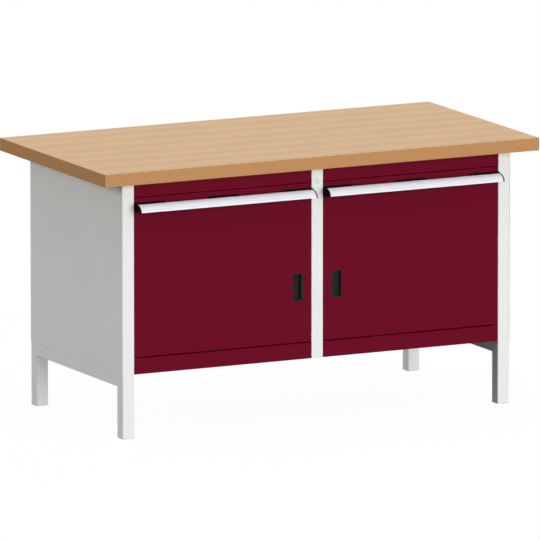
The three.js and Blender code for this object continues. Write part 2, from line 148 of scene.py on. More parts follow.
def add_node(
    tree: Tree,
    kind: str,
    feeds: Mapping[str | int, Any] | None = None,
    **settings: Any,
) -> bpy.types.Node:
    """Adds one node, with its properties set and its inputs given values or links.

    Args:
        tree: Node tree that gets the node.
        kind: Node type, without the leading "ShaderNode".
        feeds: Values or output sockets by input name or number.
        settings: Properties of the node by name.

    Returns:
        The new node.
    """
    node = tree.nodes.new("ShaderNode" + kind)
    for name, value in settings.items():
        setattr(node, name, value)
    for socket, value in (feeds or {}).items():
        if isinstance(value, Socket):
            tree.links.new(value, node.inputs[socket])
        else:
            node.inputs[socket].default_value = value
    return node


@dataclass(frozen=True, kw_only=True)
class Finish:
    """A named surface finish, with a fine pattern in its gloss and its relief."""

    name: str
    slot: Slot
    roughness: float
    specular: float
    relief_mm: float
    gloss_spread: float = 0.06
    bump: float = 0.35
    metallic: float = 0.0
    matt: float = 0.0

    def material(self) -> bpy.types.Material:
        """Makes the material once.

        Returns:
            The material, new or already made.
        """
        made = bpy.data.materials.get(self.name)
        if made is None:
            made = bpy.data.materials.new(self.name)
            made.use_nodes = True
            made.node_tree.nodes.clear()
            self.surface(made.node_tree)
        return made

    def surface(self, tree: Tree) -> None:
        """Adds the shader, fed by the finish's own patterns.

        Args:
            tree: The material's node tree.
        """
        place = add_node(tree, "TexCoord").outputs["Object"]
        colour, fine = self.patterns(tree, place)
        gloss = add_node(tree, "MapRange", {
            "Value": fine,
            "To Min": self.roughness - self.gloss_spread, "To Max": self.roughness + self.gloss_spread})
        bump = add_node(tree, "Bump", {
            "Height": fine, "Strength": self.bump, "Distance": self.relief_mm * MM})
        shader = add_node(tree, "BsdfPrincipled", {
            "Base Color": colour, "Roughness": gloss.outputs[0], "Normal": bump.outputs[0],
            "Metallic": self.metallic, "Specular IOR Level": self.specular, "Diffuse Roughness": self.matt})
        add_node(tree, "OutputMaterial", {"Surface": shader.outputs["BSDF"]})

    def patterns(self, tree: Tree, place: Socket) -> tuple[Socket, Socket]:
        """Adds the finish's own nodes, and gives its colour and the fine pattern for gloss and relief."""
        raise NotImplementedError


@dataclass(frozen=True, kw_only=True)
class GrainFinish(Finish):
    """A finish with a slow change between two tones, and a fine grain."""

    colour: str
    shade: str
    tone_mm: Triple
    grain_mm: Triple

    def patterns(self, tree: Tree, place: Socket) -> tuple[Socket, Socket]:
        """Adds soft clouds of tone, and the grain.

        Args:
            tree: The material's node tree.
            place: Object coordinates.

        Returns:
            The colour, and the fine pattern for gloss and relief.
        """
        wide = add_node(tree, "Mapping", {"Vector": place, "Scale": per_mm(self.tone_mm)})
        cloud = add_node(tree, "TexNoise", {"Vector": wide.outputs[0], "Scale": 1.0, "Detail": 3.0})
        share = add_node(tree, "MapRange", {
            "Value": cloud.outputs[0], "From Min": NOISE_LOW, "From Max": NOISE_HIGH})
        colour = add_node(tree, "Mix", {
            "Factor": share.outputs[0], "A": linear(self.shade), "B": linear(self.colour)}, data_type="RGBA")
        small = add_node(tree, "Mapping", {"Vector": place, "Scale": per_mm(self.grain_mm)})
        grain = add_node(tree, "TexNoise", {"Vector": small.outputs[0], "Scale": 1.0, "Detail": 2.0})
        return colour.outputs["Result"], grain.outputs[0]


@dataclass(frozen=True, kw_only=True)
class BeechVeneer(Finish):
    """Oiled beech glued up from boards: wavy fibre along the bench, and short dark ray flecks."""

    light: str
    dark: str
    fleck: str
    board_mm: float
    bend_mm: Triple
    fibre_mm: Triple
    fleck_mm: Triple
    sway: float = 1.5
    fleck_from: float = 0.64
    fleck_full: float = 0.72
    fleck_share: float = 0.4

    def patterns(self, tree: Tree, place: Socket) -> tuple[Socket, Socket]:
        """Adds boards that sway, fibres along them, and flecks over both.

        Args:
            tree: The material's node tree.
            place: Object coordinates.

        Returns:
            The colour, and the fine pattern for gloss and relief.
        """
        bent = add_node(tree, "Mapping", {"Vector": place, "Scale": per_mm(self.bend_mm)})
        wave = add_node(tree, "TexNoise", {"Vector": bent.outputs[0], "Scale": 1.0, "Detail": 1.0})
        phase = add_node(tree, "MapRange", {
            "Value": wave.outputs[0], "To Min": math.pi - self.sway, "To Max": math.pi + self.sway})
        boards = add_node(tree, "TexWave", {
            "Vector": place, "Scale": WAVE_PITCH / (self.board_mm * MM), "Distortion": 0.0,
            "Phase Offset": phase.outputs[0]}, bands_direction="Y")
        drawn = add_node(tree, "Mapping", {"Vector": place, "Scale": per_mm(self.fibre_mm)})
        fibre = add_node(tree, "TexNoise", {
            "Vector": drawn.outputs[0], "Scale": 1.0, "Detail": 4.0, "Roughness": 0.6, "Distortion": 0.4})
        share = add_node(tree, "MapRange", {
            "Value": fibre.outputs[0], "From Min": NOISE_LOW, "From Max": NOISE_HIGH})
        mixed = add_node(tree, "Mix", {"Factor": 0.5, "A": boards.outputs["Fac"], "B": share.outputs[0]})
        wood = add_node(tree, "Mix", {
            "Factor": mixed.outputs["Result"], "A": linear(self.dark), "B": linear(self.light)},
            data_type="RGBA")
        short = add_node(tree, "Mapping", {"Vector": place, "Scale": per_mm(self.fleck_mm)})
        rays = add_node(tree, "TexNoise", {"Vector": short.outputs[0], "Scale": 1.0, "Detail": 0.0})
        marks = add_node(tree, "MapRange", {
            "Value": rays.outputs[0], "From Min": self.fleck_from, "From Max": self.fleck_full,
            "To Max": self.fleck_share})
        colour = add_node(tree, "Mix", {
            "Factor": marks.outputs[0], "A": wood.outputs["Result"], "B": linear(self.fleck)},
            data_type="RGBA")
        return colour.outputs["Result"], fibre.outputs[0]


@dataclass(frozen=True, kw_only=True)
class BeechPly(Finish):
    """Sanded edge of a beech slab: thin layers that show end grain and long grain in turn."""

    light: str
    dark: str
    ply_mm: float
    pore_mm: Triple

    def patterns(self, tree: Tree, place: Socket) -> tuple[Socket, Socket]:
        """Adds layers across the height, with pores along them.

        Args:
            tree: The material's node tree.
            place: Object coordinates.

        Returns:
            The colour, and the fine pattern for gloss and relief.
        """
        plies = add_node(tree, "TexWave", {
            "Vector": place, "Scale": WAVE_PITCH / (self.ply_mm * MM), "Distortion": 0.6, "Detail": 2.0,
            "Detail Scale": 0.6}, bands_direction="Z")
        drawn = add_node(tree, "Mapping", {"Vector": place, "Scale": per_mm(self.pore_mm)})
        pores = add_node(tree, "TexNoise", {"Vector": drawn.outputs[0], "Scale": 1.0, "Detail": 3.0})
        mixed = add_node(tree, "Mix", {"Factor": 0.5, "A": plies.outputs["Fac"], "B": pores.outputs[0]})
        wood = add_node(tree, "Mix", {
            "Factor": mixed.outputs["Result"], "A": linear(self.dark), "B": linear(self.light)},
            data_type="RGBA")
        return wood.outputs["Result"], pores.outputs[0]


# Polyester powder, sprayed dry and baked on steel: even satin tone, and an orange peel that softens the gloss
GREY_COAT = GrainFinish(
    name="grey_powder_coat", slot=Slot.GREY_PAINT, colour="eeefec", shade="ebece9", roughness=0.5,
    specular=0.1, relief_mm=0.02, tone_mm=(160.0, 160.0, 160.0), grain_mm=(2.2, 2.2, 2.2))
# The same coat in deep red: the pigment swallows most light, so the edges alone catch some
BURGUNDY_COAT = replace(
    GREY_COAT, name="burgundy_powder_coat", slot=Slot.BURGUNDY_PAINT, colour="6b0623", shade="6a0521",
    roughness=0.55, specular=0.037)
# Oiled beech: pale and matt, soft board-wide bands; fibres and flecks are drawn coarser than life to show
VENEER = BeechVeneer(
    name="oiled_beech", slot=Slot.BEECH, light="d8b68f", dark="cda982", fleck="b98f62", roughness=0.58,
    gloss_spread=0.08, specular=0.12, relief_mm=0.05, bump=0.25, board_mm=107.0,
    bend_mm=(260.0, 90.0, 90.0), fibre_mm=(60.0, 9.0, 9.0), fleck_mm=(5.0, 0.9, 0.9))
# Sanded beech edge: darker than the face because the pores stand open; layers are drawn wider than life
PLY_EDGE = BeechPly(
    name="sanded_beech_edge", slot=Slot.BEECH, light="c49260", dark="b98756", roughness=0.65,
    gloss_spread=0.1, specular=0.1, relief_mm=0.06, bump=0.3, ply_mm=3.3, pore_mm=(8.4, 8.4, 1.4))
# Blasted and anodised aluminium: pale and even all round the curve, with lines from the die along the rail
ALUMINIUM = GrainFinish(
    name="satin_anodised_aluminium", slot=Slot.ALUMINIUM, colour="e9ebef", shade="e3e5e9", roughness=0.36,
    specular=0.35, metallic=0.08, matt=1.0, relief_mm=0.008, tone_mm=(240.0, 0.9, 0.9),
    grain_mm=(240.0, 0.9, 0.9))
# Zinc plate on rolled steel: cool grey metal with a soft cloudy spangle
ZINC = GrainFinish(
    name="bright_zinc_plate", slot=Slot.ZINC, colour="c3c6c9", shade="b3b7bb", roughness=0.36,
    specular=0.5, metallic=1.0, relief_mm=0.008, tone_mm=(30.0, 30.0, 6.0), grain_mm=(30.0, 30.0, 6.0))
# Satin nickel, drawn as a pale blasted metal with little metal in its shader: its near-white base colour is a
# painted reflection of the white room; its grain is drawn coarse to show
NICKEL = GrainFinish(
    name="satin_nickel_plate", slot=Slot.NICKEL, colour="e2e3e0", shade="dcddda", roughness=0.5,
    specular=0.1, metallic=0.1, relief_mm=0.008, tone_mm=(2.0, 2.0, 2.0), grain_mm=(2.0, 2.0, 2.0))
# Moulded ABS, deep black: the spark-eroded grain of the mould, drawn coarse to show, keeps it matt
BLACK_ABS = GrainFinish(
    name="black_moulded_abs", slot=Slot.BLACK_PLASTIC, colour="0d0b0c", shade="080707", roughness=0.6,
    specular=0.02, relief_mm=0.03, tone_mm=(0.9, 0.9, 0.9), grain_mm=(0.9, 0.9, 0.9))
# The same plastic, blasted quite matt: it mirrors the white room so softly that it looks charcoal all over
PULL_ABS = replace(
    BLACK_ABS, name="charcoal_moulded_abs", colour="080805", shade="050503", roughness=0.92, specular=0.42)
# Moulded polyethylene of the feet: waxy and pale, with the same grain
GREY_PE = replace(
    BLACK_ABS, name="grey_moulded_polyethylene", slot=Slot.GREY_PLASTIC, colour="e8e9e6", shade="e2e3e0",
    roughness=0.65, specular=0.15)


def corners(element: Any) -> list[Vector]:
    """Places of an element's corners, of which a vertex has one."""
    return [vert.co for vert in getattr(element, "verts", [element])]


def everything(_element: Any) -> bool:
    """Test that passes everywhere."""
    return True


def at(axis: Axis, place: float) -> Test:
    """Test for elements that lie in the plane across an axis at a place."""
    return lambda element: all(abs(corner[axis.value] - place) < NEAR for corner in corners(element))


def runs(axis: Axis) -> Test:
    """Test for edges that run along an axis."""
    return lambda edge: abs((corners(edge)[1] - corners(edge)[0]).normalized()[axis.value]) > ALONG


def looks(axis: Axis, sign: float) -> Test:
    """Test for faces that look along an axis, towards a sign."""
    return lambda face: face.normal[axis.value] * sign > FACING


def about_y(middle: Vector, least_mm: float, most_mm: float) -> Test:
    """Test for elements whose corners keep a least and a most distance from the line along Y at a point."""
    low, high = least_mm * MM - NEAR, most_mm * MM + NEAR
    return lambda element: all(low < (corner - middle).xz.length < high for corner in corners(element))


def inside(low: Vector, high: Vector) -> Test:
    """Test for elements whose corners all lie in a box, or on its sides."""
    return lambda element: all(
        low[i] - NEAR < corner[i] < high[i] + NEAR for corner in corners(element) for i in range(3))


def either(*tests: Test) -> Test:
    """Test that passes where one of several does."""
    return lambda element: any(test(element) for test in tests)


def both(*tests: Test) -> Test:
    """Test that passes where several all do."""
    return lambda element: all(test(element) for test in tests)


def on_sides(low: Vector, high: Vector, *axes: Axis) -> Test:
    """Test for elements that lie in a side of a box, one that crosses an axis of those given."""
    return either(*[at(axis, corner[axis.value]) for axis in axes for corner in (low, high)])


@dataclass(frozen=True)
class Stand:
    """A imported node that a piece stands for, and the body that carries it."""

    node: str
    body: str = "bench"
    mirrored: bool = False


def in_bays(node: str, body: str = "bench", mirrored: bool = False) -> list[Stand]:
    """Stands of a piece that both bays have, the left one first.

    Args:
        node: Name of the nodes, with braces for the side.
        body: Name of the bodies, with braces where each bay has its own.
        mirrored: Whether the right one is the left one's mirror image.

    Returns:
        The two stands.
    """
    return [
        Stand(node.format(side.value), body.format(side.value), mirrored and side is Side.RIGHT)
        for side in Side]


class Shaper:
    """One new piece, shaped by Blender's operators as by hand."""

    def __init__(self, kind: str) -> None:
        """Takes the mesh that an operator has just added.

        Args:
            kind: What the piece is, which ends its name.
        """
        self.kind = kind
        self.obj = bpy.context.active_object
        bpy.ops.object.transform_apply(location=True, rotation=True, scale=True)

    @classmethod
    def block(cls, kind: str, low: Vector, high: Vector) -> Shaper:
        """Starts from a cube.

        Args:
            kind: What the piece is.
            low: Lowest corner.
            high: Highest corner.

        Returns:
            The shaper of the cube.
        """
        bpy.ops.object.select_all(action="DESELECT")
        bpy.ops.mesh.primitive_cube_add(size=1.0, location=(low + high) / 2, scale=high - low)
        return cls(kind)

    @classmethod
    def ring(cls, kind: str, centre: Vector, across: float, up: float, steps: int) -> Shaper:
        """Starts from an ellipse of edges that faces along X.

        Args:
            kind: What the piece is.
            centre: Its middle.
            across: Half its size along Y.
            up: Half its size along Z.
            steps: Number of edges.

        Returns:
            The shaper of the ring.
        """
        bpy.ops.object.select_all(action="DESELECT")
        bpy.ops.mesh.primitive_circle_add(
            vertices=steps, radius=1.0, location=centre, rotation=(0.0, math.pi / 2, 0.0))
        bpy.context.active_object.scale = (up, across, 1.0)
        return cls(kind)

    @classmethod
    def drum(cls, kind: str, axis: Axis, centre: Vector, radius: float, depth: float) -> Shaper:
        """Starts from a closed cylinder.

        Args:
            kind: What the piece is.
            axis: Axis that it runs along.
            centre: Its middle.
            radius: Its radius.
            depth: Its length.

        Returns:
            The shaper of the cylinder.
        """
        turns = {Axis.X: (0.0, math.pi / 2, 0.0), Axis.Y: (math.pi / 2, 0.0, 0.0), Axis.Z: (0.0, 0.0, 0.0)}
        bpy.ops.object.select_all(action="DESELECT")
        bpy.ops.mesh.primitive_cylinder_add(
            vertices=DRUM_SIDES, radius=radius, depth=depth, location=centre, rotation=turns[axis])
        return cls(kind)

    def select(self) -> None:
        """Selects this piece alone and makes it active."""
        bpy.ops.object.select_all(action="DESELECT")
        self.obj.select_set(True)
        bpy.context.view_layer.objects.active = self.obj

    @contextmanager
    def editing(self, pick: Pick, test: Test) -> Iterator[None]:
        """Edit mode on this mesh, with some elements selected.

        Args:
            pick: Kind of element to select.
            test: Which of them.

        Yields:
            Nothing, once the elements are selected.
        """
        self.select()
        bpy.ops.object.mode_set(mode="EDIT")
        bpy.ops.mesh.select_mode(type=pick.value)
        bpy.ops.mesh.select_all(action="DESELECT")
        mesh = bmesh.from_edit_mesh(self.obj.data)
        elements = {Pick.VERT: mesh.verts, Pick.EDGE: mesh.edges, Pick.FACE: mesh.faces}[pick]
        for element in [each for each in elements if test(each)]:
            element.select_set(True)
        bmesh.update_edit_mesh(self.obj.data)
        yield
        bpy.ops.object.mode_set(mode="OBJECT")

    def bevel(self, test: Test, width_mm: float, segments: int = 4) -> Shaper:
        """Rounds the edges that pass a test.

        Args:
            test: Which edges.
            width_mm: Radius of the rounding.
            segments: Steps across it.

        Returns:
            This shaper.
        """
        with self.editing(Pick.EDGE, test):
            bpy.ops.mesh.bevel(offset=width_mm * MM, segments=segments, affect="EDGES", clamp_overlap=True)
        return self

    def inset(self, test: Test, width_mm: float, depth_mm: float = 0.0) -> Shaper:
        """Insets faces.

        Args:
            test: Which faces.
            width_mm: Width of the border.
            depth_mm: How far the faces sink.

        Returns:
            This shaper.
        """
        with self.editing(Pick.FACE, test):
            bpy.ops.mesh.inset(thickness=width_mm * MM, depth=-depth_mm * MM)
        return self

    def extrude(self, pick: Pick, test: Test, *moves_mm: Triple) -> Shaper:
        """Extrudes by one move after another.

        Args:
            pick: Kind of element to extrude.
            test: Which of them.
            moves_mm: The moves along X, Y and Z.

        Returns:
            This shaper.
        """
        with self.editing(pick, test):
            for move in moves_mm:
                bpy.ops.mesh.extrude_region_move(
                    TRANSFORM_OT_translate={"value": [step * MM for step in move]})
        return self

    def delete(self, pick: Pick, test: Test) -> Shaper:
        """Deletes elements.

        Args:
            pick: Kind of element to delete.
            test: Which of them.

        Returns:
            This shaper.
        """
        with self.editing(pick, test):
            bpy.ops.mesh.delete(type=pick.value)
        return self

    def fill(self) -> Shaper:
        """Merges the ends of an outline and fills it with one face.

        Returns:
            This shaper.
        """
        with self.editing(Pick.VERT, everything):
            bpy.ops.mesh.remove_doubles(threshold=NEAR)
            bpy.ops.mesh.select_all(action="SELECT")
            bpy.ops.mesh.edge_face_add()
        return self

    def face_out(self) -> Shaper:
        """Turns the faces of a closed mesh outwards, after merging doubles.

        Returns:
            This shaper.
        """
        with self.editing(Pick.VERT, everything):
            bpy.ops.mesh.remove_doubles(threshold=NEAR)
            bpy.ops.mesh.select_all(action="SELECT")
            bpy.ops.mesh.normals_make_consistent(inside=False)
        return self

    def modify(self, kind: str, **settings: Any) -> Shaper:
        """Adds a modifier and applies it.

        Args:
            kind: Type of modifier.
            settings: Its properties by name.

        Returns:
            This shaper.
        """
        self.select()
        modifier = self.obj.modifiers.new(kind.lower(), kind)
        for name, value in settings.items():
            setattr(modifier, name, value)
        bpy.ops.object.modifier_apply(modifier=modifier.name)
        return self

    def wall(self, thickness_mm: float) -> Shaper:
        """Gives an open sheet its thickness, on the inner side."""
        return self.modify("SOLIDIFY", thickness=thickness_mm * MM, offset=-1.0, use_even_offset=True)

    def soften(self, width_mm: float) -> Shaper:
        """Rounds every sharp edge a little."""
        return self.modify(
            "BEVEL", width=width_mm * MM, segments=2, limit_method="ANGLE", angle_limit=SHARP_ANGLE)

    def combine(self, other: Shaper, joining: Joining) -> Shaper:
        """Adds or cuts away another mesh, which is used up.

        Args:
            other: The other mesh.
            joining: How they combine.

        Returns:
            This shaper.
        """
        self.modify("BOOLEAN", object=other.obj, operation=joining.value, solver="EXACT")
        bpy.data.objects.remove(other.obj)
        return self

    def copied(self, node: str, stand: Stand) -> Shaper:
        """Copies the piece, with its own mesh, to the place of another node.

        Args:
            node: Node that the piece was modelled for.
            stand: Where the copy stands.

        Returns:
            The shaper of the copy.
        """
        low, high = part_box(node)
        other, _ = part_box(stand.node)
        self.select()
        bpy.ops.object.duplicate(linked=False)
        twin = bpy.context.active_object
        twin.location = other - low
        if stand.mirrored:
            twin.location.x = other.x + high.x
            twin.scale.x = -1.0
        copy = Shaper(self.kind)
        return copy.face_out() if stand.mirrored else copy

    def finish(self, coat: Finish, stand: Stand) -> bpy.types.Object:
        """Smooths the roundings, dresses the piece, and sets it on its body in place of its node.

        Args:
            coat: Finish of the whole piece.
            stand: Where it stands.

        Returns:
            The finished object.
        """
        self.select()
        bpy.ops.object.shade_smooth_by_angle(angle=SMOOTH_ANGLE)
        self.modify("WEIGHTED_NORMAL", keep_sharp=True)
        self.obj.name = f"{stand.node}_{self.kind}"
        self.obj.data.name = self.obj.name
        self.obj.data.materials.clear()
        self.obj.data.materials.append(coat.material())
        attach(self.obj, stand.body)
        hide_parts(stand.node)
        LOG.info("%s: %d faces, %s", self.obj.name, len(self.obj.data.polygons), coat.name)
        return self.obj

    def place(self, coat: Finish, *stands: Stand) -> bpy.types.Object:
        """Finishes the piece for its own node, and a copy of it for each further node.

        Args:
            coat: Finish of all of them.
            stands: Where they stand, the modelled one first.

        Returns:
            The modelled one, finished.
        """
        own, *others = stands
        copies = [(self.copied(own.node, stand), stand) for stand in others]
        for copy, stand in copies:
            copy.finish(coat, stand)
        return self.finish(coat, own)


def dress(nodes: Mapping[str, bpy.types.Object], coat: Finish, *names: str) -> None:
    """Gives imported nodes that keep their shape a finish.

    Args:
        nodes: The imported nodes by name.
        coat: Their finish.
        names: Which of them.
    """
    for name in names:
        for slot in nodes[name].material_slots:
            slot.material = coat.material()
        LOG.info("%s: packed shape, %s", name, coat.name)


@dataclass
class Worktop:
    """Thick beech slab with eased edges."""

    ease_mm: float = 1.0
    face_normal: float = 0.8

    def build(self) -> None:
        """Models the slab, with board faces above and below and open pores round the edges."""
        slab = Shaper.block("slab", *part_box("worktop"))
        slab.bevel(everything, self.ease_mm)
        piece = slab.place(VENEER, Stand("worktop"))
        piece.data.materials.append(PLY_EDGE.material())
        for face in piece.data.polygons:
            face.material_index = 0 if abs(face.normal.z) > self.face_normal else 1


@dataclass
class TubeFrame:
    """Welded frame of square steel tube, with a skin on each end and plastic glides in the feet."""

    corner_mm: float = 2.5
    wall_mm: float = 2.0
    skin_ease_mm: float = 0.4
    glide_flange_mm: float = 3.0
    glide_fit_mm: float = 0.3
    glide_wall_mm: float = 3.0
    glide_ease_mm: float = 1.0

    def tube(self, node: str, axis: Axis) -> Shaper:
        """Models one open tube with rounded corners.

        Args:
            node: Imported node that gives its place.
            axis: Axis that it runs along.

        Returns:
            The shaper of the tube.
        """
        low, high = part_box(node)
        bar = Shaper.block("tube", low, high)
        bar.delete(Pick.FACE, on_sides(low, high, axis))
        bar.bevel(runs(axis), self.corner_mm, segments=5)
        return bar.wall(self.wall_mm)

    def glide(self, node: str) -> Shaper:
        """Models a glide: a flange under the tube and a hollow plug inside it.

        Args:
            node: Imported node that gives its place.

        Returns:
            The shaper of the glide.
        """
        low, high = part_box(node)
        flange = Vector((high.x, high.y, low.z + self.glide_flange_mm * MM))
        foot = Shaper.block("moulding", low, flange)
        foot.bevel(runs(Axis.Z), self.corner_mm)
        foot.bevel(at(Axis.Z, low.z), self.glide_ease_mm)
        foot.inset(looks(Axis.Z, 1.0), self.wall_mm + self.glide_fit_mm)
        step = MM_XY * (self.wall_mm + self.glide_fit_mm)
        plug = inside(low + step, high - step)
        rise = (high.z - flange.z) / MM
        foot.extrude(Pick.FACE, both(looks(Axis.Z, 1.0), plug), (0.0, 0.0, rise))
        foot.inset(at(Axis.Z, high.z), self.glide_wall_mm)
        hollow = step + MM_XY * self.glide_wall_mm
        return foot.extrude(
            Pick.FACE, both(at(Axis.Z, high.z), inside(low + hollow, high - hollow)), (0.0, 0.0, -rise))

    def build(self) -> None:
        """Models one leg, rail, glide and skin, and copies them to their places."""
        feet = [f"{row}_{side.value}" for row in ("front", "rear") for side in Side]
        rails = [f"{level}_side_rail_{side.value}" for level in ("lower", "upper") for side in Side]
        self.tube("leg_front_left", Axis.Z).place(GREY_COAT, *[Stand(f"leg_{foot}") for foot in feet])
        self.tube(rails[0], Axis.Y).place(GREY_COAT, *[Stand(rail) for rail in rails])
        self.tube("rear_top_rail", Axis.X).place(GREY_COAT, Stand("rear_top_rail"))
        glide = self.glide("foot_glide_front_left")
        glide.place(GREY_PE, *[Stand(f"foot_glide_{foot}") for foot in feet])
        skin = Shaper.block("sheet", *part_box("side_skin_left"))
        skin.bevel(everything, self.skin_ease_mm, segments=2)
        skin.place(GREY_COAT, *in_bays("side_skin_{}"))


@dataclass
class CentreLock:
    """Centre post and the cylinder lock in it."""

    frame: TubeFrame
    face_mm: float = 1.2
    face_ease_mm: float = 0.5
    barrel_mm: float = 8.0
    fit_mm: float = 0.4
    plug_mm: float = 6.2
    plug_gap_mm: float = 0.35
    slot_mm: Triple = (1.6, 3.0, 9.0)
    cam_mm: Triple = (10.0, 2.0, 20.0)
    cam_corner_mm: float = 2.5

    def post(self, middle: Vector) -> None:
        """Models the post, with a round hole through its front wall.

        Args:
            middle: Where the lock's axis meets its face.
        """
        post = self.frame.tube("centre_post", Axis.Z)
        depth = 2 * (self.frame.wall_mm + self.frame.corner_mm) * MM
        hole = Shaper.drum("hole", Axis.Y, middle, (self.barrel_mm + self.fit_mm) * MM, depth)
        post.combine(hole, Joining.CUT)
        post.place(GREY_COAT, Stand("centre_post"))

    def lock(self, middle: Vector, radius_mm: float, low: Vector, high: Vector) -> None:
        """Models the lock: a rounded face with a plug and a key slot, a barrel, and a cam behind it.

        Args:
            middle: Where its axis meets its face.
            radius_mm: Radius of its face.
            low: Lowest corner of its box.
            high: Highest corner of its box.
        """
        forward = Vector((0.0, self.face_mm * MM, 0.0))
        lock = Shaper.drum("body", Axis.Y, middle + forward / 2, radius_mm * MM, forward.y)
        rear = at(Axis.Y, middle.y + forward.y)
        lock.inset(rear, radius_mm - self.barrel_mm)
        reach = (high.y - middle.y) / MM - self.face_mm
        lock.extrude(Pick.FACE, both(rear, about_y(middle, 0.0, self.barrel_mm)), (0.0, reach, 0.0))
        lock.bevel(both(at(Axis.Y, middle.y), about_y(middle, radius_mm, radius_mm)), self.face_ease_mm)
        lock.inset(looks(Axis.Y, -1.0), radius_mm - self.face_ease_mm - self.plug_mm)
        plug = both(looks(Axis.Y, -1.0), about_y(middle, 0.0, self.plug_mm))
        lock.inset(plug, self.plug_gap_mm, self.plug_gap_mm)
        half_slot = Vector((self.slot_mm[0] / 2, self.slot_mm[1], self.slot_mm[2] / 2)) * MM
        lock.combine(Shaper.block("key_slot", middle - half_slot, middle + half_slot), Joining.CUT)
        width, thick, height = (size * MM for size in self.cam_mm)
        cam = Shaper.block(
            "cam", Vector((middle.x - width / 2, high.y - thick, low.z)),
            Vector((middle.x + width / 2, high.y, low.z + height)))
        cam.bevel(runs(Axis.Y), self.cam_corner_mm)
        lock.combine(cam, Joining.ADD)
        lock.place(NICKEL, Stand("lock_cylinder", "lock"))

    def build(self) -> None:
        """Models the post and the lock."""
        low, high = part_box("lock_cylinder")
        radius = (high.x - low.x) / 2
        middle = Vector((high.x - radius, low.y, high.z - radius))
        self.post(middle)
        self.lock(middle, radius / MM, low, high)


@dataclass
class Fronts:
    """Painted fronts of both bays: fascia, plinth, drawer front and door, folded from sheet."""

    fold_mm: float = 1.4
    strip_sheet_mm: float = 1.0
    sheet_mm: float = 1.2
    return_mm: float = 14.0
    dust_lip_mm: float = 1.2
    pull_rim_mm: float = 1.7
    pin_from_edge_mm: float = 14.0
    pin_from_front_mm: float = 5.0
    pin_hole_mm: float = 3.0

    def channel(self, node: str) -> Shaper:
        """Models a strip whose flanges turn back, open at its ends and its rear.

        Args:
            node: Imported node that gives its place.

        Returns:
            The shaper of the strip.
        """
        low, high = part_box(node)
        strip = Shaper.block("channel", low, high)
        strip.delete(Pick.FACE, either(at(Axis.Y, high.y), on_sides(low, high, Axis.X)))
        strip.bevel(both(runs(Axis.X), at(Axis.Y, low.y)), self.fold_mm)
        return strip.wall(self.strip_sheet_mm)

    def plinth(self) -> Shaper:
        """Models the left plinth, with a low dust lip along the back of its upper flange.

        Returns:
            The shaper of the plinth.
        """
        low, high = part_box("plinth_left")
        thick = self.strip_sheet_mm * MM
        lip_low = Vector((low.x, high.y - thick, high.z - thick))
        lip_high = high + Vector((0.0, 0.0, self.dust_lip_mm * MM))
        return self.channel("plinth_left").combine(Shaper.block("dust_lip", lip_low, lip_high), Joining.ADD)

    def pan(self, node: str) -> Shaper:
        """Models a front as a pan with rounded edges and a return folded in round its back.

        Args:
            node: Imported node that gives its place.

        Returns:
            The shaper of the pan.
        """
        low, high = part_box(node)
        front = Shaper.block("pan", low, high)
        front.inset(at(Axis.Y, high.y), self.return_mm)
        step = MM_XZ * self.return_mm
        front.delete(Pick.FACE, both(at(Axis.Y, high.y), inside(low + step, high - step)))
        front.bevel(on_sides(low, high, Axis.X, Axis.Z), self.fold_mm)
        return front.wall(self.sheet_mm)

    def door(self) -> Shaper:
        """Models the left door, with a cut-out for its pull and holes for its pins.

        Returns:
            The shaper of the door.
        """
        leaf = self.pan("door_left")
        low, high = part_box("door_left")
        pull_low, pull_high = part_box("door_pull_left")
        margin = MM_XZ * self.pull_rim_mm
        leaf.combine(Shaper.block("window", pull_low + margin, pull_high - margin), Joining.CUT)
        pin = Vector((low.x + self.pin_from_edge_mm * MM, low.y + self.pin_from_front_mm * MM, 0.0))
        for end in (low.z, high.z):
            pin.z = end
            hole = Shaper.drum("pin_hole", Axis.Z, pin, self.pin_hole_mm * MM, 2 * self.return_mm * MM)
            leaf.combine(hole, Joining.CUT)
        return leaf

    def build(self) -> None:
        """Models the left bay's fronts and copies them to the right bay."""
        self.channel("fascia_left").place(BURGUNDY_COAT, *in_bays("fascia_{}"))
        self.plinth().place(BURGUNDY_COAT, *in_bays("plinth_{}"))
        self.pan("drawer_front_left").place(BURGUNDY_COAT, *in_bays("drawer_front_{}", "{}_drawer"))
        self.door().place(BURGUNDY_COAT, *in_bays("door_{}", "{}_door", mirrored=True))


